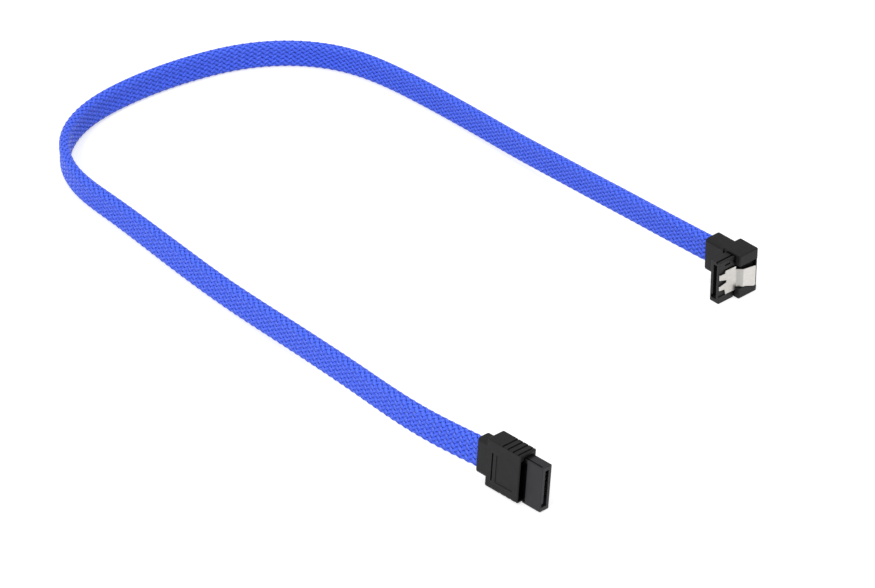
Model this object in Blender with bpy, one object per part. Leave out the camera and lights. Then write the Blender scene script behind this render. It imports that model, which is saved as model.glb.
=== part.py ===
"""Flat SATA data cable: a straight plug, a braided flat cable in a wide U, and a 90 degree plug with a latch.

Metres, +Z up, floor at z = 0. Each plug is modelled in a frame of its own: x = 0 is the front of its overmoulded
block, where the nose comes out along +x; y = 0 is the middle of the nose's thickness; z = 0 is its lower narrow side.
The straight plug's nose points along world +X, the angled plug's nearly along world -Y.
"""
import math

import bmesh
import bpy
import numpy as np
from mathutils import Matrix, Vector

# Clearances
SEAT = 0.00015
RUN = 0.0002
FACE_GAP = 0.0003
FLUSH = 0.00001

# Where the plugs stand, how far the straight one leans back about its own length, and how the angled one is turned
STRAIGHT_AT = (0.0150, -0.0575)
STRAIGHT_LEAN = math.radians(4.5)
ANGLED_AT = (-0.01294, 0.05392)
ANGLED_TURN = math.radians(-93.2)

# Nose of both plugs: its root is a little shorter in height than the nose, so that the block closes under it
NOSE_THICKNESS = 0.0034
NOSE_HEIGHT = 0.0135
NOSE_ROUNDING = 0.00015
STRAIGHT_NOSE = 0.00665
ANGLED_NOSE = 0.00609
ROOT_DEPTH = 0.0042
ROOT_STEP = 0.0006

# Grooves and slots in the nose. A groove runs along the upper narrow side of both
TOP_GROOVE_DEPTH = 0.0006
STRAIGHT_TOP_GROOVE = (-0.0015, -0.00095)
STRAIGHT_GROOVE_STOP = 0.0006
ANGLED_TOP_GROOVE = (0.00035, 0.00095)
ROOT_GROOVE_LENGTH = 0.0012
ROOT_GROOVE_DEPTH = 0.00075
ROOT_GROOVE_TOP = 0.0124
SIDE_SLOT_DEPTH = 0.0004
SIDE_SLOT_BOTTOM = 0.0118
SIDE_SLOT_HEIGHT = 0.0006
SIDE_SLOTS_FROM_MOUTH = ((0.0021, 0.0041), (0.0053, 0.0058))

# Slot that takes the drive's tongue, with its L-shaped key
SLOT_WIDTH = 0.0013
SLOT_HEIGHT = 0.0111
SLOT_BOTTOM = 0.0012
SLOT_DEPTH = 0.0052
KEY_LEG_HEIGHT = 0.0012
KEY_LEG_REACH = 0.0006

# Contacts, each in a channel of the slot's +y wall
CONTACT_COUNT = 7
CONTACT_PITCH = 0.00127
CONTACT_WIDTH = 0.00055
CONTACT_THICKNESS = 0.0002
CONTACT_BOW = 0.0003
CONTACT_CREST_BACK = 0.0012
CONTACT_TIP_LIFT = 0.0001
CONTACT_FRONT_STOP = 0.0007
CONTACT_TAIL = 0.0008
TAIL_ROOM = 0.0006
CHANNEL_WIDTH = 0.00085
CHANNEL_DEPTH = 0.0005
FIRST_CONTACT_ABOVE_SLOT = 0.0026

# Straight overmould
BLOCK_LENGTH = 0.0120
BLOCK_NEAR = -0.00325
BLOCK_FAR = 0.00275
BLOCK_HEIGHT = 0.0147
BLOCK_ROUNDING = 0.00035
COLLAR_LENGTH = 0.0033
COLLAR_THICKNESS = 0.0044
COLLAR_BOTTOM = 0.0024
COLLAR_TOP = 0.0132
COLLAR_ROUNDING = 0.0009
FRONT_RECESS_WALL = 0.0003
FRONT_RECESS_TOP = 0.0128
FRONT_RECESS_DEPTH = 0.0030
GRIP_COUNT = 4
GRIP_PITCH = 0.00187
GRIP_FIRST = 0.0008
GRIP_WIDTH = 0.0006
GRIP_DEPTH = 0.00035
LINE_BACK = 0.0098
LINE_WIDTH = 0.0005
LINE_BOTTOM = 0.0026
LINE_TOP = 0.0110
LINE_DEPTH = 0.0005
PANEL_BACK = 0.0084
PANEL_FRONT = 0.0022
PANEL_DEPTH = 0.00012

# Angled overmould
ELBOW_DEPTH = 0.00718
ELBOW_LEFT = -0.00343
ELBOW_RIGHT = 0.00362
ELBOW_HEIGHT = 0.01419
ELBOW_COLLAR_LENGTH = 0.00615
ELBOW_COLLAR_FRONT = 0.00045
ELBOW_COLLAR_THICKNESS = 0.0057
ELBOW_COLLAR_BOTTOM = 0.0038

# Latch, a sheet-metal leaf in a shallow recess of the angled nose's +y side. Its pad moves in a well of the block
LEAF_THICKNESS = 0.0003
LEAF_REST_ANGLE = math.radians(3.3)
LEAF_TIP_STOP = 0.00015
LEAF_RECESS_DEPTH = 0.0003
LEAF_RECESS_MARGIN = 0.0004
LEAF_BOTTOM = 0.0026
LEAF_TOP = 0.0104
SHOULDER = 0.00015
RAMP_START = -0.0001
RAMP_END = -0.0014
RAMP_BOTTOM = 0.0036
RAMP_TOP = 0.00935
PAD_SUNK = 0.0001
PAD_BEND = -0.0027
PAD_BEND_BOTTOM = 0.0033
PAD_REAR_BOTTOM = 0.0019
PAD_REAR_TOP = 0.0086
PAD_CORNER = 0.0004
PRONG_LENGTH = 0.00245
LOWER_PRONG = (0.0045, 0.00575)
UPPER_PRONG = (0.0079, 0.0095)
NOTCH = (0.0064, 0.0072)
PLATE_FRONT = 0.0041
PLATE_CORNER = 0.0002
BARB_FRONT = 0.00365
BARB_BACK = 0.0032
BARB_REACH = 0.00015
WELL_MARGIN = 0.0003
WELL_TOP = 0.0108
WELL_REAR_WALL = 0.0004
WELL_REAR_STEP = 0.0003

# Flat cable and the braided sleeve over it
SLEEVE_WIDTH = 0.0085
SLEEVE_THICKNESS = 0.0032
SLEEVE_WALL = 0.0004
JACKET_WIDTH = 0.0070
JACKET_THICKNESS = 0.0021
END_SEGMENTS = 5
CABLE_STATIONS = 76
ANGLED_CABLE_RISE = 0.0005
ANGLED_CABLE_FORWARD = 0.0003
STRAIGHT_JACKET_STOP = 0.0012

# The cable's middle line between the two collars: x, y, z in millimetres, and the lean of the ribbon's upper edge
# towards the inner side of the U in degrees. It lies on its edge, and rises to both plugs.
ROUTE = (
    (-36.0, 56.7, 9.4, 0.5),
    (-53.0, 58.0, 8.7, 1.0),
    (-71.0, 59.8, 7.5, 1.5),
    (-89.0, 61.7, 6.3, 1.5),
    (-105.5, 63.5, 5.2, 1.5),
    (-121.0, 65.1, 4.6, 1.5),
    (-136.0, 66.2, 4.3, 1.5),
    (-151.0, 66.7, 4.25, 1.0),
    (-166.5, 66.2, 4.25, 1.0),
    (-180.5, 63.1, 4.25, 0.5),
    (-193.0, 55.2, 4.25, 0.0),
    (-202.5, 42.7, 4.25, -1.0),
    (-207.7, 28.6, 4.25, -2.0),
    (-210.3, 15.5, 4.25, -2.0),
    (-211.2, 2.5, 4.25, -1.5),
    (-209.5, -13.3, 4.25, -1.0),
    (-200.5, -30.1, 4.25, -1.0),
    (-183.5, -40.4, 4.25, 0.0),
    (-165.0, -43.3, 4.25, 2.0),
    (-147.5, -45.4, 4.25, 5.5),
    (-133.0, -47.3, 4.25, 7.5),
    (-107.0, -50.3, 4.3, 6.0),
    (-81.5, -52.7, 5.1, 4.5),
    (-49.0, -56.2, 6.4, 4.5),
    (-22.0, -58.4, 7.1, 4.5),
)


def material(name, color, roughness, metallic=0.0):
    """One Principled BSDF material, made once for each name."""
    found = bpy.data.materials.get(name)
    if found:
        return found
    made = bpy.data.materials.new(name)
    made.use_nodes = True
    shader = made.node_tree.nodes["Principled BSDF"]
    shader.inputs["Base Color"].default_value = (*color, 1.0)
    shader.inputs["Roughness"].default_value = roughness
    shader.inputs["Metallic"].default_value = metallic
    made.diffuse_color = (*color, 1.0)
    return made


def overmould_plastic():
    return material("overmould_plastic", (0.020, 0.020, 0.022), 0.55)


def insulator_plastic():
    return material("insulator_plastic", (0.022, 0.022, 0.024), 0.45)


def contact_metal():
    return material("contact_metal", (0.80, 0.58, 0.26), 0.28, 1.0)


def latch_metal():
    return material("latch_metal", (0.72, 0.70, 0.67), 0.25, 1.0)


def braid_fabric():
    return material("braid_fabric", (0.045, 0.085, 0.78), 0.6)


def jacket_plastic():
    return material("jacket_plastic", (0.03, 0.06, 0.45), 0.5)


def linked(name, data, parent=None, finish=None):
    """A new object in the scene, under its plug's frame if it has one."""
    made = bpy.data.objects.new(name, data)
    bpy.context.scene.collection.objects.link(made)
    made.parent = parent
    if finish:
        data.materials.append(finish)
    return made


def guide(made):
    """Marks an object as a cutter or a profile, which isn't part of the cable."""
    made.hide_render = True
    made.display_type = "WIRE"
    return made


def box_mesh(name, low, high, rounding=0.0, edges=None):
    """A box between two corners. Rounding bevels all its edges, or those along one axis."""
    mesh = bpy.data.meshes.new(name)
    bm = bmesh.new()
    bmesh.ops.create_cube(bm, size=1.0)
    size = Vector(high) - Vector(low)
    middle = (Vector(high) + Vector(low)) / 2
    bmesh.ops.transform(bm, matrix=Matrix.Translation(middle) @ Matrix.Diagonal((*size, 1.0)), verts=bm.verts)
    if rounding:
        chosen = list(bm.edges)
        if edges is not None:
            across = [i for i in range(3) if i != edges]
            chosen = [e for e in bm.edges if all(abs(e.verts[0].co[i] - e.verts[1].co[i]) < 1e-7 for i in across)]
        bmesh.ops.bevel(bm, geom=chosen, offset=rounding, segments=2, profile=0.5, affect="EDGES")
    bm.to_mesh(mesh)
    bm.free()
    return mesh


def prism_mesh(name, outline, low, high, axis):
    """A flat outline extruded along an axis. Its points are in the plane of the two other axes, in their order."""
    mesh = bpy.data.meshes.new(name)
    bm = bmesh.new()
    others = [i for i in range(3) if i != axis]
    ring = []
    for first, second in outline:
        place = [0.0, 0.0, 0.0]
        place[axis] = low
        place[others[0]] = first
        place[others[1]] = second
        ring.append(bm.verts.new(place))
    face = bm.faces.new(ring)
    step = Vector((0.0, 0.0, 0.0))
    step[axis] = high - low
    grown = bmesh.ops.extrude_face_region(bm, geom=[face])["geom"]
    bmesh.ops.translate(bm, vec=step, verts=[v for v in grown if isinstance(v, bmesh.types.BMVert)])
    bmesh.ops.recalc_face_normals(bm, faces=bm.faces)
    bm.to_mesh(mesh)
    bm.free()
    return mesh


def combine(target, other, operation):
    """Adds an exact Boolean of a guide to an object."""
    guide(other)
    step = target.modifiers.new(other.name, "BOOLEAN")
    step.operation = operation
    step.solver = "EXACT"
    step.object = other


def cut_box(target, name, low, high, rounding=0.0):
    """Cuts a box, given in the target's own frame, out of it."""
    mesh = box_mesh(name, low, high, rounding)
    combine(target, linked(name, mesh, target.parent), "DIFFERENCE")


def plug_frame(name, place, lift, lean, turn):
    """An empty that carries one plug."""
    frame = linked(name, None)
    frame.location = (*place, lift)
    frame.rotation_euler = (-lean, 0.0, turn)
    return frame


def stadium(width, thickness):
    """The cross-section of a flat cable: points round a slot shape, thickness along x and width along y."""
    radius = thickness / 2
    straight = (width - thickness) / 2
    points = []
    for side in (1, -1):
        for step in range(END_SEGMENTS + 1):
            angle = math.pi * step / END_SEGMENTS
            points.append((side * radius * math.cos(angle), side * (straight + radius * math.sin(angle))))
    return points


def contact_height(index):
    return SLOT_BOTTOM + FIRST_CONTACT_ABOVE_SLOT + index * CONTACT_PITCH


def insulator(prefix, frame, exposed):
    """The nose with its keyed slot and the contact channels behind it, and a shorter root inside the block."""
    half = NOSE_THICKNESS / 2
    low = (-ROOT_DEPTH, -half, 0.0)
    mesh = box_mesh(prefix + "_insulator", low, (exposed, half, NOSE_HEIGHT), NOSE_ROUNDING)
    body = linked(prefix + "_insulator", mesh, frame, insulator_plastic())
    step_low = (-ROOT_DEPTH - SEAT, -half - SEAT, -SEAT)
    cut_box(body, prefix + "_root_step_cut", step_low, (FACE_GAP, half + SEAT, ROOT_STEP))
    past = exposed + SEAT
    floor = exposed - SLOT_DEPTH
    side = SLOT_WIDTH / 2
    slot_top = SLOT_BOTTOM + SLOT_HEIGHT
    cut_box(body, prefix + "_slot_cut", (floor, -side, SLOT_BOTTOM), (past, side, slot_top))
    leg = (floor, -side - KEY_LEG_REACH, SLOT_BOTTOM)
    cut_box(body, prefix + "_key_cut", leg, (past, 0.0, SLOT_BOTTOM + KEY_LEG_HEIGHT))
    for index in range(CONTACT_COUNT):
        z = contact_height(index)
        near = (-ROOT_DEPTH - SEAT, 0.0, z - CHANNEL_WIDTH / 2)
        far = (exposed - CONTACT_FRONT_STOP / 2, side + CHANNEL_DEPTH, z + CHANNEL_WIDTH / 2)
        cut_box(body, f"{prefix}_channel_cut_{index + 1}", near, far)
    return body


def cut_top_groove(body, name, sides, front):
    """The lengthwise groove in a nose's upper narrow side, from the block to a place near or past the mouth."""
    left, right = sides
    cut_box(body, name, (SEAT, left, NOSE_HEIGHT - TOP_GROOVE_DEPTH), (front, right, NOSE_HEIGHT + SEAT))


def straight_insulator(frame):
    """The straight nose: its top groove stops short of the mouth, and its near side is stepped in at the root."""
    body = insulator("straight", frame, STRAIGHT_NOSE)
    cut_top_groove(body, "straight_top_groove_cut", STRAIGHT_TOP_GROOVE, STRAIGHT_NOSE - STRAIGHT_GROOVE_STOP)
    near = -NOSE_THICKNESS / 2
    root_low = (-FRONT_RECESS_DEPTH, near - SEAT, ROOT_STEP)
    cut_box(body, "root_groove_cut", root_low, (ROOT_GROOVE_LENGTH, near + ROOT_GROOVE_DEPTH, ROOT_GROOVE_TOP))


def angled_insulator(frame):
    """The angled nose: its top groove opens at the mouth, and two short slots lie above the latch's recess."""
    body = insulator("angled", frame, ANGLED_NOSE)
    cut_top_groove(body, "angled_top_groove_cut", ANGLED_TOP_GROOVE, ANGLED_NOSE + SEAT)
    half = NOSE_THICKNESS / 2
    for index, (front, back) in enumerate(SIDE_SLOTS_FROM_MOUTH):
        low = (ANGLED_NOSE - back, half - SIDE_SLOT_DEPTH, SIDE_SLOT_BOTTOM)
        high = (ANGLED_NOSE - front, half + SEAT, SIDE_SLOT_BOTTOM + SIDE_SLOT_HEIGHT)
        cut_box(body, f"side_slot_cut_{index + 1}", low, high)
    recess_low = (RAMP_START - LEAF_RECESS_MARGIN, leaf_floor(), LEAF_BOTTOM - LEAF_RECESS_MARGIN)
    recess_high = (ANGLED_NOSE + SEAT, half + SEAT, LEAF_TOP + LEAF_RECESS_MARGIN)
    cut_box(body, "leaf_recess_cut", recess_low, recess_high)


def contacts(prefix, frame, exposed):
    """Seven spring strips: each lies in its channel and bows a little into the slot."""
    wall = SLOT_WIDTH / 2 + CHANNEL_DEPTH - SEAT
    inner = wall - CONTACT_THICKNESS
    bowed = SLOT_WIDTH / 2 - CONTACT_BOW
    tail = -ROOT_DEPTH - CONTACT_TAIL
    slot_floor = exposed - SLOT_DEPTH
    tip = exposed - CONTACT_FRONT_STOP
    crest = tip - CONTACT_CREST_BACK
    outline = (
        (tail, inner),
        (slot_floor, inner),
        (crest, bowed),
        (tip, inner - CONTACT_TIP_LIFT),
        (tip, wall - CONTACT_TIP_LIFT),
        (crest, bowed + CONTACT_THICKNESS),
        (slot_floor, wall),
        (tail, wall),
    )
    for index in range(CONTACT_COUNT):
        z = contact_height(index)
        name = f"{prefix}_contact_{index + 1}"
        mesh = prism_mesh(name, outline, z - CONTACT_WIDTH / 2, z + CONTACT_WIDTH / 2, 2)
        linked(name, mesh, frame, contact_metal())


def cut_pocket(target, prefix):
    """The pocket in an overmould's front that the insulator's root sits in, and room for the contacts' tails."""
    half = NOSE_THICKNESS / 2 + SEAT
    low = (-ROOT_DEPTH - SEAT, -half, ROOT_STEP - SEAT)
    cut_box(target, prefix + "_pocket_cut", low, (SEAT, half, NOSE_HEIGHT + SEAT))
    reach = CONTACT_WIDTH / 2 + TAIL_ROOM
    tail_low = (-ROOT_DEPTH - CONTACT_TAIL - RUN, -SLOT_WIDTH / 2, contact_height(0) - reach)
    tail_high = (-ROOT_DEPTH, NOSE_THICKNESS / 2, contact_height(CONTACT_COUNT - 1) + reach)
    cut_box(target, prefix + "_tail_cut", tail_low, tail_high)


def straight_entry():
    """Where the cable enters the straight collar: y and z of the collar's middle."""
    return BLOCK_NEAR + COLLAR_THICKNESS / 2, (COLLAR_BOTTOM + COLLAR_TOP) / 2


def angled_entry():
    """Where the cable enters the angled collar: x and z, a little above and in front of the collar's middle."""
    along = ELBOW_COLLAR_FRONT - ELBOW_COLLAR_THICKNESS / 2 + ANGLED_CABLE_FORWARD
    return along, (ELBOW_COLLAR_BOTTOM + ELBOW_HEIGHT) / 2 + ANGLED_CABLE_RISE


def bore_outline(along, height):
    """The jacket's section with its running clearance, moved to where the cable enters."""
    section = stadium(JACKET_WIDTH + 2 * RUN, JACKET_THICKNESS + 2 * RUN)
    return [(across + along, up + height) for across, up in section]


def straight_overmould(frame):
    """Block, rear collar, pocket and cable bore, with the grip grooves, the engraved line and the sunken panel."""
    name = "straight_overmould"
    low = (-BLOCK_LENGTH, BLOCK_NEAR, 0.0)
    high = (0.0, BLOCK_FAR, BLOCK_HEIGHT)
    block = linked(name, box_mesh(name, low, high, BLOCK_ROUNDING), frame, overmould_plastic())
    rear = -BLOCK_LENGTH - COLLAR_LENGTH
    collar_low = (rear, BLOCK_NEAR + FLUSH, COLLAR_BOTTOM)
    collar_high = (-BLOCK_LENGTH + 2 * BLOCK_ROUNDING, BLOCK_NEAR + COLLAR_THICKNESS, COLLAR_TOP)
    collar = box_mesh("straight_collar", collar_low, collar_high, COLLAR_ROUNDING, edges=0)
    combine(block, linked("straight_collar", collar, frame), "UNION")
    cut_pocket(block, "straight")
    inner_end = -ROOT_DEPTH - CONTACT_TAIL
    bore = prism_mesh("straight_bore_cut", bore_outline(*straight_entry()), rear - SEAT, inner_end, 0)
    combine(block, linked("straight_bore_cut", bore, frame), "DIFFERENCE")
    recess_low = (-FRONT_RECESS_DEPTH, BLOCK_NEAR + FRONT_RECESS_WALL, ROOT_STEP)
    cut_box(block, "front_recess_cut", recess_low, (SEAT, 0.0, FRONT_RECESS_TOP))
    for index in range(GRIP_COUNT):
        x = -GRIP_FIRST - index * GRIP_PITCH
        for level, label in ((0.0, "lower"), (BLOCK_HEIGHT, "upper")):
            low = (x - GRIP_WIDTH / 2, BLOCK_NEAR - SEAT, level - GRIP_DEPTH)
            high = (x + GRIP_WIDTH / 2, BLOCK_FAR + SEAT, level + GRIP_DEPTH)
            cut_box(block, f"grip_{label}_cut_{index + 1}", low, high)
    line_low = (-LINE_BACK - LINE_WIDTH / 2, BLOCK_NEAR - SEAT, LINE_BOTTOM)
    line_high = (-LINE_BACK + LINE_WIDTH / 2, BLOCK_NEAR + LINE_DEPTH, LINE_TOP)
    cut_box(block, "line_cut", line_low, line_high)
    panel_low = (-PANEL_BACK, BLOCK_NEAR - SEAT, LINE_BOTTOM)
    panel_high = (-PANEL_FRONT, BLOCK_NEAR + PANEL_DEPTH, LINE_TOP)
    cut_box(block, "panel_cut", panel_low, panel_high)


def angled_overmould(frame):
    """Block and side collar in one moulding, with the pocket, the cable bore and the well that the latch moves in."""
    name = "angled_overmould"
    low = (-ELBOW_DEPTH, ELBOW_LEFT, 0.0)
    high = (0.0, ELBOW_RIGHT, ELBOW_HEIGHT)
    block = linked(name, box_mesh(name, low, high, BLOCK_ROUNDING), frame, overmould_plastic())
    rear = ELBOW_LEFT - ELBOW_COLLAR_LENGTH
    collar_low = (ELBOW_COLLAR_FRONT - ELBOW_COLLAR_THICKNESS, rear, ELBOW_COLLAR_BOTTOM)
    collar_high = (ELBOW_COLLAR_FRONT, ELBOW_LEFT + 2 * BLOCK_ROUNDING, ELBOW_HEIGHT - FLUSH)
    collar = box_mesh("angled_collar", collar_low, collar_high, COLLAR_ROUNDING, edges=1)
    combine(block, linked("angled_collar", collar, frame), "UNION")
    cut_pocket(block, "angled")
    bore = prism_mesh("angled_bore_cut", bore_outline(*angled_entry()), rear - SEAT, -NOSE_THICKNESS / 2, 1)
    combine(block, linked("angled_bore_cut", bore, frame), "DIFFERENCE")
    cut_latch_well(block)


def leaf_floor():
    """How far out the floor of the nose's recess lies, which the leaf covers."""
    return NOSE_THICKNESS / 2 - LEAF_RECESS_DEPTH


def leaf_root():
    """Where the latch pivots, in the angled plug's frame: x and y of the middle of its sheet at the tip."""
    return ANGLED_NOSE - LEAF_TIP_STOP, leaf_floor() + SEAT + LEAF_THICKNESS / 2


def pad_rear():
    return -ELBOW_DEPTH + WELL_REAR_WALL + SEAT


def pad_inner():
    """How far out the pad's inner face stands when nothing presses it."""
    return ELBOW_RIGHT - PAD_SUNK - LEAF_THICKNESS


def well_floor():
    """Deep enough for the pad's rear end when the leaf is pressed flat on the nose."""
    travel = (leaf_root()[0] - pad_rear()) * math.tan(LEAF_REST_ANGLE)
    return pad_inner() - travel - RUN


def cut_latch_well(block):
    """The well behind the pad, the deeper throat behind the ramp, and the lower rim of the well's rear wall."""
    out = ELBOW_RIGHT + SEAT
    rear = -ELBOW_DEPTH + WELL_REAR_WALL
    ramp_low = RAMP_BOTTOM - WELL_MARGIN
    rear_low = PAD_REAR_BOTTOM - WELL_MARGIN
    bend = (PAD_BEND, PAD_BEND_BOTTOM - WELL_MARGIN)
    outline = ((SEAT, ramp_low), (SEAT, WELL_TOP), (rear, WELL_TOP), (rear, rear_low), bend, (RAMP_END, ramp_low))
    well = prism_mesh("latch_well_cut", outline, well_floor(), out, 1)
    combine(block, linked("latch_well_cut", well, block.parent), "DIFFERENCE")
    throat_low = (RAMP_END, NOSE_THICKNESS / 2, ramp_low)
    cut_box(block, "latch_throat_cut", throat_low, (SEAT, out, WELL_TOP))
    rim_low = (-ELBOW_DEPTH - SEAT, ELBOW_RIGHT - WELL_REAR_STEP, rear_low)
    cut_box(block, "latch_rim_cut", rim_low, (rear + SEAT, out, WELL_TOP))


def leaf_section():
    """The bent sheet seen from above, about its pivot: a sloping blade, a ramp and the pad."""
    root_x, root_y = leaf_root()
    start = -LEAF_THICKNESS / 2
    ramp_foot = start + math.tan(LEAF_REST_ANGLE) * (root_x - RAMP_START)
    pad = pad_inner() - root_y
    bend = 0.4 * LEAF_THICKNESS
    inside = [(0.0, start), (RAMP_START - root_x, ramp_foot), (RAMP_END - root_x, pad), (pad_rear() - root_x, pad)]
    shifts = (0.0, bend, bend, 0.0)
    outside = [(x - shift, y + LEAF_THICKNESS) for (x, y), shift in zip(inside, shifts)]
    return inside + outside[::-1]


def leaf_silhouette():
    """The leaf seen from its side, in the plug's x and z: two prongs at the mouth, a barb below and the pad."""
    past = ANGLED_NOSE
    notch = leaf_root()[0] - PRONG_LENGTH
    shoulder = RAMP_START + SHOULDER
    rear = pad_rear() - SEAT
    corner = PAD_CORNER
    upper_low, upper_high = UPPER_PRONG
    lower_low, lower_high = LOWER_PRONG
    prongs = [(past, lower_low), (past, lower_high), (notch, NOTCH[0]), (notch, NOTCH[1])]
    prongs += [(past, upper_low), (past, upper_high)]
    upper = [(PLATE_FRONT, upper_high), (PLATE_FRONT - PLATE_CORNER, LEAF_TOP), (shoulder, LEAF_TOP)]
    upper += [(shoulder, RAMP_TOP), (RAMP_END, RAMP_TOP), (pad_rear() + corner, PAD_REAR_TOP)]
    upper += [(rear, PAD_REAR_TOP - corner), (rear, PAD_REAR_BOTTOM + corner)]
    lower = [(pad_rear() + corner, PAD_REAR_BOTTOM), (PAD_BEND, PAD_BEND_BOTTOM), (RAMP_END, RAMP_BOTTOM)]
    lower += [(shoulder, RAMP_BOTTOM), (shoulder, LEAF_BOTTOM), (BARB_BACK, LEAF_BOTTOM)]
    lower += [(BARB_FRONT, LEAF_BOTTOM - BARB_REACH), (PLATE_FRONT, lower_low - PLATE_CORNER)]
    return prongs + upper + lower


def latch(frame):
    """The bent leaf, which pivots where it is held at the mouth."""
    leaf_low = min(PAD_REAR_BOTTOM, LEAF_BOTTOM - BARB_REACH) - SEAT
    sheet = prism_mesh("latch_spring", leaf_section(), leaf_low, LEAF_TOP + SEAT, 2)
    leaf = linked("latch_spring", sheet, frame, latch_metal())
    leaf.location = (*leaf_root(), 0.0)
    shape = prism_mesh("latch_outline", leaf_silhouette(), 0.0, 2 * ELBOW_RIGHT, 1)
    combine(leaf, linked("latch_outline", shape, frame), "INTERSECT")


def smooth_line(points, count):
    """Evenly spaced points on a natural cubic spline through the given points, each row a point."""
    given = np.array(points)
    steps = np.linalg.norm(np.diff(given[:, :3], axis=0), axis=1)
    knots = np.concatenate([[0.0], np.cumsum(steps)])
    size = len(given)
    system = np.eye(size)
    right = np.zeros_like(given)
    for i in range(1, size - 1):
        before, after = steps[i - 1], steps[i]
        system[i, i - 1 : i + 2] = (before, 2 * (before + after), after)
        slope_after = (given[i + 1] - given[i]) / after
        slope_before = (given[i] - given[i - 1]) / before
        right[i] = 6 * (slope_after - slope_before)
    bend = np.linalg.solve(system, right)
    places = np.linspace(0.0, knots[-1], count)
    spans = np.clip(np.searchsorted(knots, places, side="right") - 1, 0, size - 2)
    made = []
    for place, i in zip(places, spans):
        step = steps[i]
        a = (knots[i + 1] - place) / step
        b = 1 - a
        curve = ((a**3 - a) * bend[i] + (b**3 - b) * bend[i + 1]) * step**2 / 6
        made.append(a * given[i] + b * given[i + 1] + curve)
    return np.array(made)


def cable_line(straight_frame, angled_frame):
    """The whole middle line from inside the angled plug to inside the straight one: x, y, z and lean in radians."""
    along, up = angled_entry()
    angled_rear = ELBOW_LEFT - ELBOW_COLLAR_LENGTH
    inside_y = -NOSE_THICKNESS / 2 - SEAT - RUN
    angled_end = angled_frame.matrix_world @ Vector((along, inside_y, up))
    angled_face = angled_frame.matrix_world @ Vector((along, angled_rear - FACE_GAP, up))
    across, up = straight_entry()
    straight_rear = -BLOCK_LENGTH - COLLAR_LENGTH
    inside_x = -ROOT_DEPTH - CONTACT_TAIL - STRAIGHT_JACKET_STOP
    straight_face = straight_frame.matrix_world @ Vector((straight_rear - FACE_GAP, across, up))
    straight_end = straight_frame.matrix_world @ Vector((inside_x, across, up))
    middle = [(x / 1000, y / 1000, z / 1000, math.radians(lean)) for x, y, z, lean in ROUTE]
    first = (*angled_face, 0.0)
    last = (*straight_face, STRAIGHT_LEAN)
    line = smooth_line([first, *middle, last], CABLE_STATIONS)
    return (*angled_end, 0.0), line, (*straight_end, STRAIGHT_LEAN)


def ribbon(name, line, width, thickness, finish):
    """A flat tube on a poly spline, upright apart from its lean. Returns its object."""
    profile = bpy.data.curves.new(name + "_section", "CURVE")
    outline = profile.splines.new("POLY")
    points = stadium(width, thickness)[::-1]
    outline.points.add(len(points) - 1)
    for point, (x, y) in zip(outline.points, points):
        point.co = (x, y, 0.0, 1.0)
    outline.use_cyclic_u = True
    section = guide(linked(name + "_section", profile))
    curve = bpy.data.curves.new(name, "CURVE")
    curve.dimensions = "3D"
    curve.twist_mode = "Z_UP"
    curve.bevel_mode = "OBJECT"
    curve.bevel_object = section
    spline = curve.splines.new("POLY")
    spline.points.add(len(line) - 1)
    for point, (x, y, z, lean) in zip(spline.points, line):
        point.co = (x, y, z, 1.0)
        point.tilt = -lean
    return linked(name, curve, None, finish)


def cable(straight_frame, angled_frame):
    """The jacket of the flat twin lead, and the hollow braided sleeve between the collars."""
    bpy.context.view_layer.update()
    first, line, last = cable_line(straight_frame, angled_frame)
    jacket_line = [first, *line, last]
    jacket = ribbon("cable_jacket", jacket_line, JACKET_WIDTH, JACKET_THICKNESS, jacket_plastic())
    jacket.data.use_fill_caps = True
    sleeve = ribbon("braided_sleeve", line, SLEEVE_WIDTH, SLEEVE_THICKNESS, braid_fabric())
    wall = sleeve.modifiers.new("wall", "SOLIDIFY")
    wall.thickness = SLEEVE_WALL
    wall.offset = -1.0
    wall.use_even_offset = True


def main():
    for made in list(bpy.data.objects):
        bpy.data.objects.remove(made, do_unlink=True)
    lift = BLOCK_FAR * math.sin(STRAIGHT_LEAN)
    straight = plug_frame("straight_frame", STRAIGHT_AT, lift, STRAIGHT_LEAN, 0.0)
    angled = plug_frame("angled_frame", ANGLED_AT, 0.0, 0.0, ANGLED_TURN)
    straight_overmould(straight)
    straight_insulator(straight)
    contacts("straight", straight, STRAIGHT_NOSE)
    angled_overmould(angled)
    angled_insulator(angled)
    contacts("angled", angled, ANGLED_NOSE)
    latch(angled)
    cable(straight, angled)


main()
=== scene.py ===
# %% [markdown]
# # A flat data cable in a blue braid
# The real thing is half a metre of flat twin lead in a woven polyester sleeve, with a black moulded plug at each
# end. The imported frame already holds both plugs, their contacts, the latch and a plain sleeve. So this script
# weaves the sleeve, finishes the plastics and metals, and lights a small white studio.

# %% Load the frame
import math

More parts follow.
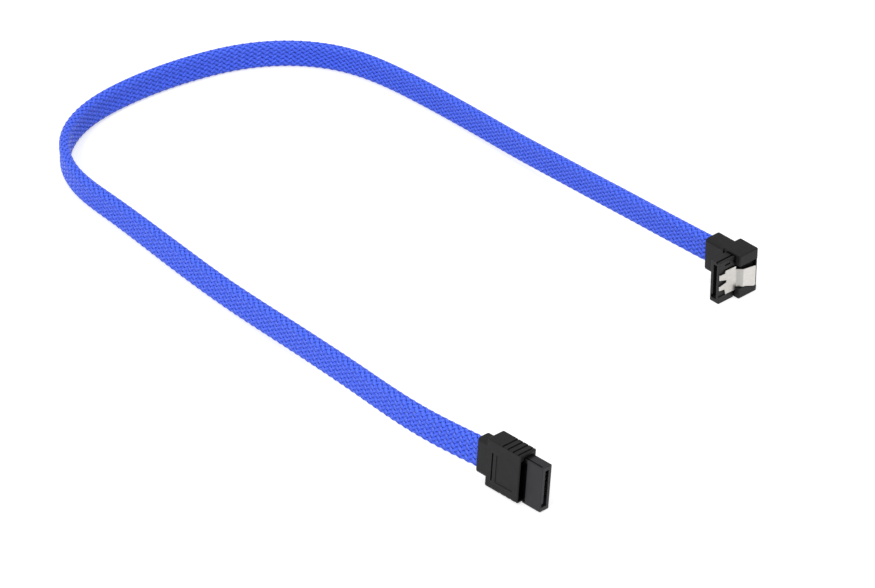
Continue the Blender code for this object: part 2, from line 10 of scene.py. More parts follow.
import bmesh
import bpy
import numpy as np
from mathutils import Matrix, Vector


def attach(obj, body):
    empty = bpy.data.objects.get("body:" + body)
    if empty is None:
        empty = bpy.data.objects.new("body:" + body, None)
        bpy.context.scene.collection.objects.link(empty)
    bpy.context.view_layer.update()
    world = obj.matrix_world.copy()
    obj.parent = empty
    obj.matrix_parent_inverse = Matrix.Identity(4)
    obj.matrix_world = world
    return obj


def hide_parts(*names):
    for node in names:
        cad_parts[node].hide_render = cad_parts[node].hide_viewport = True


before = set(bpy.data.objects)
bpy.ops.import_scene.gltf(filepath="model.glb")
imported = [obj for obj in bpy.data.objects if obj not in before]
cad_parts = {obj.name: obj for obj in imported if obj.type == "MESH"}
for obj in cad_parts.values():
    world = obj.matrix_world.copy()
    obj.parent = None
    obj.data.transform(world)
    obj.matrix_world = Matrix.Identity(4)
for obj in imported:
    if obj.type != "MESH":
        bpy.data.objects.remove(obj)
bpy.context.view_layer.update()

# %% [markdown]
# ## Camera
# A cable is small, so a long lens from a little over a metre away keeps its lines nearly parallel, as a catalogue
# picture does. The camera stands on the diagonal between +X and -Y and looks down by 33 degrees. A wide lens close
# by would show the same things, but it would make the near plug far too big for the rest.

# %% Camera
SENSOR_MM = 36.0
LENS_MM = 170.74
CAMERA_AT = Vector((0.6199, -0.6950, 0.6394))
CAMERA_AZIMUTH = math.radians(45.0)
CAMERA_DOWN = math.radians(33.2)
NEAREST_SEEN = 0.05

camera_data = bpy.data.cameras.new("camera")
camera_data.sensor_fit = "HORIZONTAL"
camera_data.sensor_width = SENSOR_MM
camera_data.lens = LENS_MM
camera_data.clip_start = NEAREST_SEEN
camera = bpy.data.objects.new("camera", camera_data)
bpy.context.scene.collection.objects.link(camera)
camera.location = CAMERA_AT
camera.rotation_euler = (math.pi / 2 - CAMERA_DOWN, 0.0, CAMERA_AZIMUTH)
bpy.context.scene.camera = camera
print("camera looks down by", round(math.degrees(CAMERA_DOWN), 1), "degrees")

# %% [markdown]
# ## The cable's route
# The flat lead lies on its edge in a wide U. It leaves each plug straight, comes down to the table and lies there.
# Its middle line is a list of given places: x, y and z in millimetres, and the lean of the ribbon's upper edge in
# degrees. The first and last place are where the lead leaves each collar.

# %% Places on the route
ROUTE = (
    (-22.69, 56.57, 9.495, 0.0),
    (-36.0, 56.7, 9.4, 0.5),
    (-53.0, 58.0, 8.7, 1.0),
    (-71.0, 59.8, 7.5, 1.5),
    (-89.0, 61.7, 6.3, 1.5),
    (-105.5, 63.5, 5.2, 1.5),
    (-121.0, 65.1, 4.6, 1.5),
    (-136.0, 66.2, 4.3, 1.5),
    (-151.0, 66.7, 4.25, 1.0),
    (-166.5, 66.2, 4.25, 1.0),
    (-180.5, 63.1, 4.25, 0.5),
    (-193.0, 55.2, 4.25, 0.0),
    (-202.5, 42.7, 4.25, -1.0),
    (-207.7, 28.6, 4.25, -2.0),
    (-210.3, 15.5, 4.25, -2.0),
    (-211.2, 2.5, 4.25, -1.5),
    (-209.5, -13.3, 4.25, -1.0),
    (-200.5, -30.1, 4.25, -1.0),
    (-183.5, -40.4, 4.25, 0.0),
    (-165.0, -43.3, 4.25, 2.0),
    (-147.5, -45.4, 4.25, 5.5),
    (-133.0, -47.3, 4.25, 7.5),
    (-107.0, -50.3, 4.3, 6.0),
    (-81.5, -52.7, 5.1, 4.5),
    (-49.0, -56.2, 6.4, 4.5),
    (-22.0, -58.4, 7.1, 4.5),
    (-0.60, -57.93, 8.07, 4.5),
)
print(len(ROUTE), "places on the route")

# %% [markdown]
# A springy lead bends as evenly as it can. A natural cubic spline is the curve that a thin springy strip takes
# through fixed places, so it fits better here than a chain of arcs or curve handles set by eye.

# %% A smooth line through the places
MM = 0.001
LINE_POINTS = 1200


def smooth_line(points, count):
    """Evenly spaced points on a natural cubic spline through the given rows."""
    given = np.array(points, float)
    steps = np.linalg.norm(np.diff(given[:, :3], axis=0), axis=1)
    knots = np.concatenate([[0.0], np.cumsum(steps)])
    size = len(given)
    system = np.eye(size)
    right = np.zeros_like(given)
    for i in range(1, size - 1):
        before, after = steps[i - 1], steps[i]
        system[i, i - 1 : i + 2] = (before, 2 * (before + after), after)
        right[i] = 6 * ((given[i + 1] - given[i]) / after - (given[i] - given[i - 1]) / before)
    bend = np.linalg.solve(system, right)
    places = np.linspace(0.0, knots[-1], count)
    spans = np.clip(np.searchsorted(knots, places, side="right") - 1, 0, size - 2)
    step = steps[spans][:, None]
    a = (knots[spans + 1] - places)[:, None] / step
    b = 1 - a
    curve = ((a**3 - a) * bend[spans] + (b**3 - b) * bend[spans + 1]) * step**2 / 6
    return a * given[spans] + b * given[spans + 1] + curve


line = smooth_line(ROUTE, LINE_POINTS)
middle = line[:, :3] * MM
lean = np.radians(line[:, 3])
stretches = np.linalg.norm(np.diff(middle, axis=0), axis=1)
travelled = np.concatenate([[0.0], np.cumsum(stretches)])
cable_length = float(travelled[-1])
print("cable between the collars:", round(cable_length, 4), "m")

# %% [markdown]
# A ribbon needs two more directions at every place: across its thin way, and up along its wide way. Both are
# square to the line, and both turn with the lean.

# %% Directions along the line
def unit(vectors):
    return vectors / np.linalg.norm(vectors, axis=1)[:, None]


UPRIGHT = np.array((0.0, 0.0, 1.0))
forward = unit(np.gradient(middle, axis=0))
side = unit(np.cross(UPRIGHT, forward))
raised = np.cross(forward, side)
cosine, sine = np.cos(lean)[:, None], np.sin(lean)[:, None]
across = side * cosine - raised * sine
rise = raised * cosine + side * sine
print("the ribbon leans by", round(math.degrees(lean.max()), 1), "degrees at most")

# %% [markdown]
# ## Weaving the sleeve
# A braided sleeve is made of bundles of fine filament that wind round the cable in two directions, and cross over
# and under each other. Bump on a smooth tube would show the pattern and leave a smooth outline, so each bundle is
# modelled as a strand of its own. All strands need the same thing first: the flat oval that they wind round. It
# has two straight sides with a slight waist, as a flat pair of wires gives, and two round ends.

# %% The oval section of the sleeve
SLEEVE_WIDTH = 0.0085
SLEEVE_THICKNESS = 0.0032
WAIST = 0.00012
STRAND_THICKNESS = 0.00030
WEAVE_SWING = 0.00010
UPPER_SET = 0.00002
SECTION_STEPS = 720


def section_points():
    """Evenly stepped places on the oval at the strands' middle height: across, up, and the outward normal."""
    inset = STRAND_THICKNESS / 2 + WEAVE_SWING + UPPER_SET
    radius = SLEEVE_THICKNESS / 2 - inset
    half_flat = (SLEEVE_WIDTH - SLEEVE_THICKNESS) / 2
    around = 4 * half_flat + 2 * math.pi * radius
    places = np.arange(SECTION_STEPS) / SECTION_STEPS * around
    points = np.zeros((SECTION_STEPS, 4))
    for i, place in enumerate(places):
        lobe, rest = divmod(place, around / 2)
        sign = 1 if lobe == 0 else -1
        if rest < 2 * half_flat:
            height = rest - half_flat
            pinch = WAIST * math.cos(math.pi * height / (2 * half_flat)) ** 2
            points[i] = (sign * (radius - pinch), sign * height, sign, 0.0)
        else:
            angle = (rest - 2 * half_flat) / radius
            out, up = math.cos(angle), math.sin(angle)
            points[i] = (sign * radius * out, sign * (half_flat + radius * up), sign * out, sign * up)
    return points, around


oval, girth = section_points()
print("round the sleeve:", round(girth / MM, 2), "mm")

# %% [markdown]
# A woven sleeve is never drawn quite tight. It stands a little off the lead along the whole cable, and spreads
# more before the straight plug, where it was pushed back before the plug was moulded on. It still lies on the
# floor, so the middle of the wider section is raised by what its lower edge gained, and close to the straight plug
# it hangs. Where the ribbon bends, the sleeve's upper edge slides along the lead, backwards on one straight run
# and forwards on the other, so the weave leans a little on both. Tables of a few places each, with even change
# between them, say all of this more plainly than a formula would.

# %% Looseness of the sleeve
# Distances along the cable are in metres. LOOSE_UP and LOOSE_ACROSS are factors, LOOSE_RAISE is in metres, and
# SLIDE is metres along the cable for each metre above its middle line.
LOOSE_PLACES = (0.0, 0.004, 0.012, 0.360, 0.420, 0.458, 0.466, 0.470)
LOOSE_UP = (1.02, 1.03, 1.03, 1.03, 1.06, 1.09, 1.10, 1.10)
LOOSE_ACROSS = (1.04, 1.05, 1.05, 1.05, 1.08, 1.14, 1.12, 1.08)
LOOSE_RAISE = (0.0, 0.0, 0.00013, 0.00013, 0.0002, -0.0001, -0.0002, -0.0002)
SLIDE_PLACES = (0.0, 0.010, 0.130, 0.200, 0.240, 0.300, 0.460, 0.470)
SLIDE = (0.0, -0.29, -0.29, -0.05, 0.05, 0.29, 0.29, 0.0)
print("the sleeve spreads by", round(100 * (max(LOOSE_UP) - 1)), "% before the straight plug")

# %% Look up places on the oval and on the route
def wrapped(table, places, period):
    """Rows of a table looked up between its entries, where the last entry meets the first."""
    position = np.mod(places / period * len(table), len(table))
    low = np.floor(position).astype(int) % len(table)
    part = (position - np.floor(position))[:, None]
    return table[low] * (1 - part) + table[(low + 1) % len(table)] * part


def along_route(values, places):
    """Rows of one of the route's arrays, looked up by distance along the cable."""
    return np.stack([np.interp(places, travelled, values[:, k]) for k in range(3)], axis=1)


# %% Put points on the sleeve
def on_sleeve(places, rounds, heights):
    """World points for distances along the cable, distances round the oval and heights above it."""
    spot = wrapped(oval, rounds, girth)
    slid = places + np.interp(places, SLIDE_PLACES, SLIDE) * spot[:, 1]
    places = np.clip(slid, 0.0, cable_length)
    outward = spot[:, 0] * np.interp(places, LOOSE_PLACES, LOOSE_ACROSS) + spot[:, 2] * heights
    upward = spot[:, 1] * np.interp(places, LOOSE_PLACES, LOOSE_UP) + spot[:, 3] * heights
    centre = along_route(middle, places)
    centre[:, 2] += np.interp(places, LOOSE_PLACES, LOOSE_RAISE)
    thin_way = along_route(across, places) * outward[:, None]
    wide_way = along_route(rise, places) * upward[:, None]
    return centre + thin_way + wide_way


# %% [markdown]
# ### How the strands cross
# The over and under of a plain braid follows a simple rule. Along one strand the crossings with the other
# direction come evenly, and it passes over one and under the next. So each strand's height is a cosine of the
# distance along the cable, and the strands of the other direction have the opposite height at the same place. The
# number of crossings is rounded to a whole one, so that both ends of the sleeve look alike.

# %% Sizes of the weave
STRANDS = 13
BRAID_ANGLE = math.radians(30.2)
STRAND_COVER = 0.93
STEPS_PER_CROSSING = 3
SIDES = 4

pitch = girth / math.tan(BRAID_ANGLE)
crossings = int(round(2 * cable_length * STRANDS / pitch))
stations = crossings * STEPS_PER_CROSSING + 1
cell = 2 * cable_length / crossings
slope = girth / (cell * STRANDS)
strand_width = STRAND_COVER * girth / STRANDS * math.cos(BRAID_ANGLE)
print("strand width", round(strand_width / MM, 2), "mm,", crossings, "crossings on each")

# %% [markdown]
# ### How a strand is made
# A strand could be a curve with a bevel, but then its filaments would have no UV map to follow. So it starts as a
# flat grid, as long as the cable has stations and as wide as the strand has sides. The grid's place in its own
# square says how far along the strand and how far round it each vertex is. Then every vertex is carried onto the
# oval and along the route, the long seam is joined and the ends are closed. A strand has four sides only, because
# 26 of them with over a thousand stations each already give a dense mesh, and each is little more than a
# millimetre wide.

# %% Flat grids, one for each strand
GRID_HALF = 0.5


def strand_grids(name):
    """A mesh of flat grids, with how far along its strand (0 to 1) and how far round it each vertex is."""
    bm = bmesh.new()
    for _ in range(STRANDS):
        bmesh.ops.create_grid(bm, x_segments=stations - 1, y_segments=SIDES, size=GRID_HALF)
    mesh = bpy.data.meshes.new(name)
    bm.to_mesh(mesh)
    bm.free()
    grid = np.empty(len(mesh.vertices) * 3, np.float32)
    mesh.vertices.foreach_get("co", grid)
    grid = grid.reshape(-1, 3).astype(float)
    return mesh, np.clip(grid[:, 0] + GRID_HALF, 0.0, 1.0), grid[:, 1] + GRID_HALF


# %% Wind the grids round the cable
def wind(mesh, turn, along, around):
    """Carries every vertex onto the sleeve; turn is 1 or -1 for the two directions."""
    number = np.repeat(np.arange(STRANDS), stations * (SIDES + 1))
    base = along * cable_length
    corner = 2 * math.pi * around
    sideways = np.cos(corner) * strand_width / 2
    tall = np.sin(corner) * STRAND_THICKNESS / 2
    swing = turn * (np.cos(2 * math.pi * base / cell) * WEAVE_SWING + UPPER_SET)
    lead = turn * slope
    tilt = math.atan(lead)
    places = np.clip(base - sideways * math.sin(tilt), 0.0, cable_length)
    rounds = number * girth / STRANDS + base * lead + sideways * math.cos(tilt)
    points = on_sleeve(places, rounds, tall + swing)
    mesh.vertices.foreach_set("co", points.astype(np.float32).ravel())


# %% Give the strands their own UV map
def map_strands(mesh, turn, along, around):
    """U counts crossings, with the top of each float at a half, and V goes once round the strand."""
    crest = 0.5 if turn > 0 else 0.0
    paint = mesh.uv_layers.new(name="strand")
    loops = np.empty(len(mesh.loops), np.int32)
    mesh.loops.foreach_get("vertex_index", loops)
    uv = np.stack([along * cable_length / cell + crest, around], axis=1)[loops]
    paint.data.foreach_set("uv", uv.astype(np.float32).ravel())


# %% Close the strands
SEAM_GAP = 1e-7


def close_strands(mesh):
    """Joins each strand's long seam, caps its ends, and turns all faces outwards."""
    bm = bmesh.new()
    bm.from_mesh(mesh)
    bmesh.ops.remove_doubles(bm, verts=bm.verts, dist=SEAM_GAP)
    ends = [edge for edge in bm.edges if len(edge.link_faces) == 1]
    bmesh.ops.holes_fill(bm, edges=ends, sides=SIDES)
    bmesh.ops.recalc_face_normals(bm, faces=bm.faces)
    bm.to_mesh(mesh)
    bm.free()
    mesh.polygons.foreach_set("use_smooth", np.ones(len(mesh.polygons), bool))


# %% Weave both directions
def strand_set(name, turn):
    """All strands that wind one way, as one object."""
    mesh, along, around = strand_grids(name)
    wind(mesh, turn, along, around)
    map_strands(mesh, turn, along, around)
    close_strands(mesh)
    made = bpy.data.objects.new(name, mesh)
    bpy.context.scene.collection.objects.link(made)
    print(name, "has", 2 * len(mesh.polygons), "triangles at most")
    return made


strands_right = strand_set("sleeve_strands_right", 1)
strands_left = strand_set("sleeve_strands_left", -1)

# %% [markdown]
# ## Finishes
# All finishes are node materials on Object coordinates, apart from the strands, whose filaments follow the
# strand's own UV map. Five small helpers make what every finish uses: a new material, the coordinates, a noise, a
# ramp between two colours, and a bump.

# %% Material helpers
MIX_FACTOR, MIX_A, MIX_B, MIX_COLOUR = 0, 6, 7, 2


def finish(name):
    """A new material, its nodes and links, and its shader."""
    made = bpy.data.materials.new(name)
    made.use_nodes = True
    nodes, links = made.node_tree.nodes, made.node_tree.links
    return made, nodes, links, nodes["Principled BSDF"]


def object_coordinates(nodes):
    return nodes.new("ShaderNodeTexCoord").outputs["Object"]


def noise(nodes, links, coordinates, scale, detail):
    texture = nodes.new("ShaderNodeTexNoise")
    texture.inputs["Scale"].default_value = scale
    texture.inputs["Detail"].default_value = detail
    links.new(coordinates, texture.inputs["Vector"])
    return texture.outputs["Fac"]


def ramp(nodes, links, factor, low, high, stops=(0.3, 0.7)):
    """A colour between low and high, as the factor goes from the first stop to the second."""
    made = nodes.new("ShaderNodeValToRGB")
    for element, stop, colour in zip(made.color_ramp.elements, stops, (low, high)):
        element.position = stop
        element.color = (*colour, 1.0)
    links.new(factor, made.inputs["Fac"])
    return made.outputs["Color"]


def bump(nodes, links, height, distance, strength, shader):
    made = nodes.new("ShaderNodeBump")
    made.inputs["Distance"].default_value = distance
    made.inputs["Strength"].default_value = strength
    links.new(height, made.inputs["Height"])
    links.new(made.outputs["Normal"], shader.inputs["Normal"])


# %% [markdown]
# ### Braid yarn
# The yarn is royal blue polyester in flat bundles. Each bundle gets a painted highlight where it lies on top and
# painted shade where it dives under its neighbour, with finer streaks along it where its filaments part. One wave
# along the strand's UV map paints that highlight and shade, another one round the strand gives the streaks, and a
# cloud of noise keeps one float from looking like the next. Filaments shine across their length, so the shader is
# anisotropic, with its tangent along the strand. A woven picture mapped on the whole sleeve could not follow each
# strand in this way.

# %% Two waves on the strand's map
ONE_WAVE = math.pi / 10  # the Wave texture's scale for one wave in each unit
BUNDLES_ROUND_STRAND = 5.0
BUNDLE_WANDER = 0.5


def strand_wave(nodes, links, strand, direction, waves, wander):
    """Waves on the strand's UV map, along it for X and round it for Y."""
    made = nodes.new("ShaderNodeTexWave")
    made.bands_direction = direction
    made.inputs["Scale"].default_value = ONE_WAVE * waves
    made.inputs["Distortion"].default_value = wander
    links.new(strand.outputs["UV"], made.inputs["Vector"])
    return made.outputs["Fac"]


def add_part(nodes, links, whole, extra, share):
    """One value plus a share of another."""
    made = nodes.new("ShaderNodeMath")
    made.operation = "MULTIPLY_ADD"
    made.inputs[1].default_value = share
    links.new(extra, made.inputs[0])
    links.new(whole, made.inputs[2])
    return made.outputs["Value"]


# %% Braid yarn
# The yarn ramp runs from painted shade, where a bundle dives under, to a painted highlight on top of each float.
YARN_DIVE_SHADE = (0.003, 0.041, 0.82)
YARN_FLOAT_HIGHLIGHT = (0.080, 0.168, 1.0)
YARN_STOPS = (0.40, 1.0)
YARN_CLOUD = 260.0
CLOUD_SHARE = 0.35
STREAK_SHARE = 0.45
FILAMENT_HEIGHT = 0.00005


def braid_yarn():
    """Royal blue multifilament, with a painted highlight on each float and painted shade where a bundle dives
    under its neighbour.
    """
    made, nodes, links, shader = finish("braid_yarn")
    strand = nodes.new("ShaderNodeUVMap")
    strand.uv_map = "strand"
    # The wave along each strand paints the highlight on top of each float and the shade where the strand dives
    # under.
    float_light_wave = strand_wave(nodes, links, strand, "X", 1.0, 0.0)
    bundles = strand_wave(nodes, links, strand, "Y", BUNDLES_ROUND_STRAND, BUNDLE_WANDER)
    cloud = noise(nodes, links, object_coordinates(nodes), YARN_CLOUD, detail=3.0)
    painted_float_light_and_cloud = add_part(nodes, links, float_light_wave, cloud, CLOUD_SHARE)
    streaked = add_part(nodes, links, painted_float_light_and_cloud, bundles, STREAK_SHARE)
    tone = ramp(nodes, links, streaked, YARN_DIVE_SHADE, YARN_FLOAT_HIGHLIGHT, YARN_STOPS)
    links.new(tone, shader.inputs["Base Color"])
    shader.inputs["Roughness"].default_value = 0.38
    shader.inputs["Specular IOR Level"].default_value = 0.28
    shader.inputs["Anisotropic"].default_value = 0.95
    shader.inputs["Anisotropic Rotation"].default_value = 0.25
    along = nodes.new("ShaderNodeTangent")
    along.direction_type = "UV_MAP"
    along.uv_map = "strand"
    links.new(along.outputs["Tangent"], shader.inputs["Tangent"])
    bump(nodes, links, bundles, FILAMENT_HEIGHT, 0.7, shader)
    return made


yarn = braid_yarn()
for strands in (strands_right, strands_left):
    strands.data.materials.append(yarn)
print("yarn from", YARN_DIVE_SHADE, "to", YARN_FLOAT_HIGHLIGHT)

# %% [markdown]
# ### Jacket of the flat lead
# Between the strands the lead's own blue plastic shows in small dots. It is extruded and dull. A plain colour
# would pass at this size, but a faint cloud keeps it from looking flat in a close view.

# %% Jacket of the flat lead
JACKET_DEEP = (0.004, 0.045, 0.80)
JACKET_PALE = (0.008, 0.060, 0.90)
JACKET_CLOUD = 300.0


def lead_jacket():
    """Dull blue extruded plastic."""
    made, nodes, links, shader = finish("lead_jacket")
    cloud = noise(nodes, links, object_coordinates(nodes), JACKET_CLOUD, detail=2.0)
    links.new(ramp(nodes, links, cloud, JACKET_DEEP, JACKET_PALE), shader.inputs["Base Color"])
    shader.inputs["Roughness"].default_value = 0.5
    shader.inputs["Specular IOR Level"].default_value = 0.15
    return made


jacket_plastic = lead_jacket()
print("jacket:", jacket_plastic.name)

# %% [markdown]
# ### Moulded plastics
# The overmoulds are soft black plastic from a spark-eroded mould, which leaves a very fine grain and a satin look.
# The noses are a harder plastic with a smoother face. One recipe covers both: a cloud for the tone, a finer one
# for the gloss, and the finest as a bump for the grain. The straight plug's nose is a little greyer than the
# angled one's.

# %% Moulded plastics
TONE_CLOUD, GLOSS_CLOUD, GRAIN_CLOUD = 220.0, 900.0, 9000.0
GRAIN_HEIGHT = 0.00002
GLOSSIER, DULLER = -0.06, 0.08


def moulded_plastic(name, dark, light, roughness, grain):
    """Black moulded plastic with a fine grain and a slightly uneven gloss."""
    made, nodes, links, shader = finish(name)
    coordinates = object_coordinates(nodes)
    cloud = noise(nodes, links, coordinates, TONE_CLOUD, detail=4.0)
    links.new(ramp(nodes, links, cloud, dark, light), shader.inputs["Base Color"])
    spread = nodes.new("ShaderNodeMapRange")
    spread.inputs["To Min"].default_value = roughness + GLOSSIER
    spread.inputs["To Max"].default_value = roughness + DULLER
    links.new(noise(nodes, links, coordinates, GLOSS_CLOUD, detail=3.0), spread.inputs["Value"])
    links.new(spread.outputs["Result"], shader.inputs["Roughness"])
    fine = noise(nodes, links, coordinates, GRAIN_CLOUD, detail=2.0)
    bump(nodes, links, fine, GRAIN_HEIGHT, grain, shader)
    shader.inputs["Specular IOR Level"].default_value = 0.24
    return made


block_plastic = moulded_plastic(
    "block_plastic", (0.0065, 0.0065, 0.0070), (0.0105, 0.0105, 0.0112), roughness=0.52, grain=0.45
)
straight_nose_plastic = moulded_plastic(
    "straight_nose_plastic", (0.019, 0.019, 0.022), (0.024, 0.024, 0.028), roughness=0.40, grain=0.25
)
angled_nose_plastic = moulded_plastic(
    "angled_nose_plastic", (0.011, 0.011, 0.012), (0.015, 0.015, 0.017), roughness=0.44, grain=0.25
)
print("plastics:", block_plastic.name, straight_nose_plastic.name, angled_nose_plastic.name)

# %% [markdown]
# ### The gap round each nose
# A nose stands in a pocket of its overmould with a hair's breadth round it, and no light comes out of that gap.
# The solids touch there. Cutting the gap into them would leave a groove finer than a pixel, so that shadow is
# painted instead: the nose's own plastic is painted black over a few tenths of a millimetre beside its block,
# along the nose's axis.

# %% The gap round each nose
# Painted shade: this black stands in for the shadow in the gap round each nose.
GAP_SHADE_BLACK = (0.0008, 0.0008, 0.0009, 1.0)


def paint_root_shade(made, axis, root, clear):
    """Paints shade black on a nose where it stands in its block, from full at root to none at clear, along a world
    axis.
    """
    nodes, links = made.node_tree.nodes, made.node_tree.links
    shader = nodes["Principled BSDF"]
    plain = shader.inputs["Base Color"].links[0].from_socket
    place = nodes.new("ShaderNodeSeparateXYZ")
    links.new(object_coordinates(nodes), place.inputs["Vector"])
    open_part = nodes.new("ShaderNodeMapRange")
    open_part.inputs["From Min"].default_value = root
    open_part.inputs["From Max"].default_value = clear
    links.new(place.outputs[axis], open_part.inputs["Value"])
    gap = nodes.new("ShaderNodeMix")
    gap.data_type = "RGBA"
    gap.inputs[MIX_A].default_value = GAP_SHADE_BLACK
    links.new(open_part.outputs["Result"], gap.inputs[MIX_FACTOR])
    links.new(plain, gap.inputs[MIX_B])
    links.new(gap.outputs[MIX_COLOUR], shader.inputs["Base Color"])
    print(made.name, "turns black towards", axis, "=", root)


paint_root_shade(straight_nose_plastic, "X", 0.0160, 0.0163)
paint_root_shade(angled_nose_plastic, "Y", 0.0536, 0.0530)

# %% [markdown]
# ### Metals
# The latch is stamped from bright plated spring steel, and the contacts are gold-flashed. Rolled sheet has faint
# lines along the way it was rolled. Noise squeezed along one axis gives them, as a slight change of tone and as a
# very low bump. A real brushed finish would be too coarse on a leaf of 8 mm.

# %% Metals
ROLLING_SQUEEZE = (1.0, 0.08, 1.0)
ROLLING_LINES = 5200.0
LINE_HEIGHT = 0.00001
LINE_PALE, LINE_DEEP = 1.04, 0.86


def rolled_metal(name, colour, roughness, streak):
    """Plated sheet with faint rolling lines along its length."""
    made, nodes, links, shader = finish(name)
    squeezed = nodes.new("ShaderNodeMapping")
    squeezed.inputs["Scale"].default_value = ROLLING_SQUEEZE
    links.new(object_coordinates(nodes), squeezed.inputs["Vector"])
    lines = noise(nodes, links, squeezed.outputs["Vector"], ROLLING_LINES, detail=3.0)
    pale = [min(1.0, part * LINE_PALE) for part in colour]
    deep = [part * LINE_DEEP for part in colour]
    links.new(ramp(nodes, links, lines, deep, pale), shader.inputs["Base Color"])
    shader.inputs["Metallic"].default_value = 1.0
    shader.inputs["Roughness"].default_value = roughness
    bump(nodes, links, lines, LINE_HEIGHT, streak, shader)
    return made


latch_metal = rolled_metal("latch_nickel", (0.66, 0.64, 0.61), roughness=0.36, streak=0.25)
contact_gold = rolled_metal("contact_gold", (0.85, 0.60, 0.28), roughness=0.26, streak=0.15)
print("metals:", latch_metal.name, contact_gold.name)

# %% [markdown]
# ### Painted darker reflection on the latch's bend
# The ramp where the latch bends from the leaf up to the pad is painted darker than the flats, as a painted darker
# reflection, and the leaf is painted a little darker than the pad. The latch lies along Y on this plug, so a ramp
# of levels on its Y coordinate darkens the right band. A second material on the bend's own faces would do too, but
# the frame's meshes are left alone, and a ramp of levels fades the painted band softly.

# %% Painted darker reflection on the latch's bend
# Levels of painted darker reflection along the latch: the leaf, the pad, and the darker bend between them.
LATCH_FROM = 0.0477
LATCH_TO = 0.0606
LEAF_REFLECTION_LEVEL, PAD_REFLECTION_LEVEL = 0.93, 0.98
BEND_REFLECTION_LEVELS = ((0.30, 0.90), (0.40, 0.97), (0.47, 0.97), (0.50, 0.66), (0.585, 0.72), (0.61, 1.0))


def paint_bend_reflection(made):
    """Multiplies the latch's colour by a painted reflection level that depends on how far along the latch a point
    is.
    """
    nodes, links = made.node_tree.nodes, made.node_tree.links
    shader = nodes["Principled BSDF"]
    plated = shader.inputs["Base Color"].links[0].from_socket
    place = nodes.new("ShaderNodeSeparateXYZ")
    links.new(object_coordinates(nodes), place.inputs["Vector"])
    along = nodes.new("ShaderNodeMapRange")
    along.inputs["From Min"].default_value = LATCH_FROM
    along.inputs["From Max"].default_value = LATCH_TO
    links.new(place.outputs["Y"], along.inputs["Value"])
    band = nodes.new("ShaderNodeValToRGB")
    stops = band.color_ramp.elements
    stops[0].position, stops[0].color = 0.0, (LEAF_REFLECTION_LEVEL, LEAF_REFLECTION_LEVEL, LEAF_REFLECTION_LEVEL, 1.0)
    stops[1].position, stops[1].color = 1.0, (PAD_REFLECTION_LEVEL, PAD_REFLECTION_LEVEL, PAD_REFLECTION_LEVEL, 1.0)
    for position, level in BEND_REFLECTION_LEVELS:
        stops.new(position).color = (level, level, level, 1.0)
    links.new(along.outputs["Result"], band.inputs["Fac"])
    # Painted reflection: the plated colour is multiplied by these levels, so the bend shows darker.
    painted_reflection = nodes.new("ShaderNodeMix")
    painted_reflection.data_type = "RGBA"
    painted_reflection.blend_type = "MULTIPLY"
    painted_reflection.inputs[MIX_FACTOR].default_value = 1.0
    links.new(plated, painted_reflection.inputs[MIX_A])
    links.new(band.outputs["Color"], painted_reflection.inputs[MIX_B])
    links.new(painted_reflection.outputs[MIX_COLOUR], shader.inputs["Base Color"])


paint_bend_reflection(latch_metal)
print("the latch lies along Y from", LATCH_FROM, "to", LATCH_TO)

# %% [markdown]
# ### Dressing the frame's pieces
# The plugs, contacts, latch and jacket keep the shapes that the frame gives them, because those are right already.
# Only their material slots are filled. The plain sleeve is left out, because the strands take its place.

# %% Dress the frame's own pieces
def dress(node, made):
    """Gives a node of the frame one finish in all its slots."""
    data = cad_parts[node].data
    if not data.materials:
        data.materials.append(made)
    for i in range(len(data.materials)):
        data.materials[i] = made


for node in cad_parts:
    if "contact" in node:
        dress(node, contact_gold)
    elif node.endswith("overmould"):
        dress(node, block_plastic)
dress("straight_insulator", straight_nose_plastic)
dress("angled_insulator", angled_nose_plastic)
dress("latch_spring", latch_metal)
dress("cable_jacket", jacket_plastic)
print("dressed the plugs, contacts, latch and jacket")

# %% [markdown]
# ## Floor and light
# A catalogue picture has a white ground. Stronger lamps would whiten a grey floor, and bleach the cable with it.
# So the floor's own colour stays pale grey and it glows a little, but only as the camera sees it, directly or by a
# reflection or through glass. The cable still throws a faint shadow on it.

# %% Floor finish
FLOOR_GREY = (0.60, 0.60, 0.60, 1.0)
FLOOR_GLOW = 0.60
WHITE = (1.0, 1.0, 1.0, 1.0)


def math_node(nodes, links, operation, first, second=None):
    made = nodes.new("ShaderNodeMath")
    made.operation = operation
    links.new(first, made.inputs[0])
    if second is not None:
        links.new(second, made.inputs[1])
    return made


def white_floor():
    """A matt floor that glows in what the camera sees of it, and doesn't light the object with that glow."""
    made, nodes, links, shader = finish("white_floor")
    shader.inputs["Base Color"].default_value = FLOOR_GREY
    shader.inputs["Roughness"].default_value = 0.9
    shader.inputs["Specular IOR Level"].default_value = 0.0
    rays = nodes.new("ShaderNodeLightPath").outputs
    seen = math_node(nodes, links, "MAXIMUM", rays["Is Camera Ray"], rays["Is Glossy Ray"])
    seen = math_node(nodes, links, "MAXIMUM", seen.outputs["Value"], rays["Is Transmission Ray"])
    glow = math_node(nodes, links, "MULTIPLY", seen.outputs["Value"])
    glow.inputs[1].default_value = FLOOR_GLOW
    shader.inputs["Emission Color"].default_value = WHITE
    links.new(glow.outputs["Value"], shader.inputs["Emission Strength"])
    return made


# %% Floor
FLOOR_HALF = 3.0


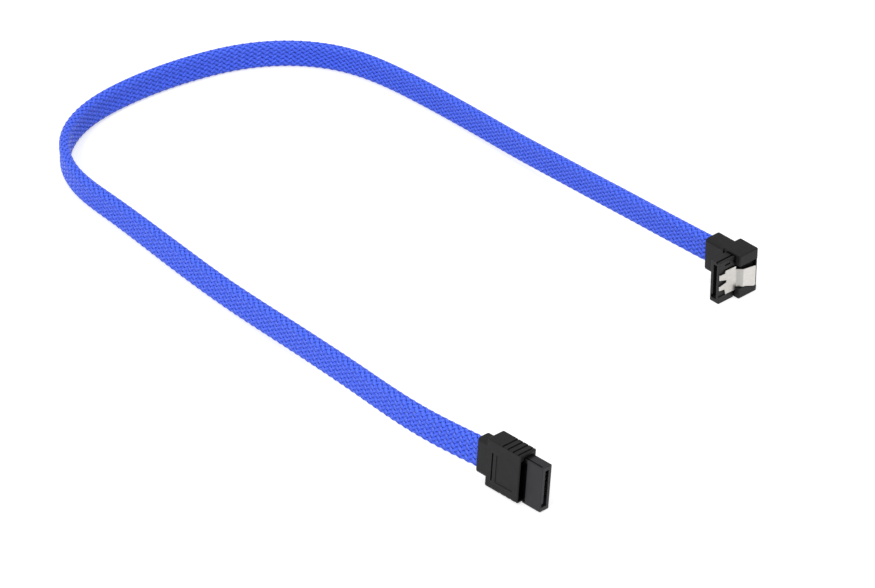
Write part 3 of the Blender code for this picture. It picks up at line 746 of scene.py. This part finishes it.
def floor_plane():
    bm = bmesh.new()
    bmesh.ops.create_grid(bm, x_segments=1, y_segments=1, size=FLOOR_HALF)
    mesh = bpy.data.meshes.new("floor")
    bm.to_mesh(mesh)
    bm.free()
    made = bpy.data.objects.new("floor", mesh)
    bpy.context.scene.collection.objects.link(made)
    mesh.materials.append(white_floor())
    print("floor:", 2 * FLOOR_HALF, "m square")


floor_plane()

# %% [markdown]
# The world is an even white dome. The camera sees it at full white, and the object is lit by a little over half of
# that, so black plastic stays black. Three soft lamps give the shapes: a wide one overhead, one from the front
# that brings out the latch and the plugs' faces, and a weak one from the right.

# %% World
WORLD_LEVEL = 0.55


def white_world():
    world = bpy.data.worlds.new("studio")
    world.use_nodes = True
    nodes, links = world.node_tree.nodes, world.node_tree.links
    backdrop = nodes["Background"]
    path = nodes.new("ShaderNodeLightPath")
    level = nodes.new("ShaderNodeMapRange")
    level.inputs["To Min"].default_value = WORLD_LEVEL
    level.inputs["To Max"].default_value = 1.0
    links.new(path.outputs["Is Camera Ray"], level.inputs["Value"])
    links.new(level.outputs["Result"], backdrop.inputs["Strength"])
    backdrop.inputs["Color"].default_value = WHITE
    bpy.context.scene.world = world


white_world()
print("world level", WORLD_LEVEL)

# %% Lamps
LAMPS_AIM_AT = Vector((-0.09, 0.0, 0.005))


def soft_lamp(name, place, size, power):
    """A round area lamp: where it hangs in metres, how wide it is, and its power in watts."""
    data = bpy.data.lights.new(name, "AREA")
    data.shape = "DISK"
    data.size = size
    data.energy = power
    made = bpy.data.objects.new(name, data)
    bpy.context.scene.collection.objects.link(made)
    made.location = place
    made.rotation_euler = (LAMPS_AIM_AT - Vector(place)).to_track_quat("-Z", "Y").to_euler()
    print(name, "lamp,", power, "W")


soft_lamp("overhead", (-0.25, 0.15, 1.3), size=1.1, power=4.5)
soft_lamp("front", (0.03, -1.05, 0.98), size=0.45, power=9.0)
soft_lamp("right", (0.95, 0.35, 0.55), size=0.6, power=1.5)

# %% [markdown]
# ## The strands ride with the cable
# The strands take the place of the frame's plain sleeve, which is hidden, and they ride with the cable's body.

view_settings = bpy.context.scene.view_settings
view_settings.view_transform = "Standard"
for strands in (strands_right, strands_left):
    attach(strands, "cable")
    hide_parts("braided_sleeve")
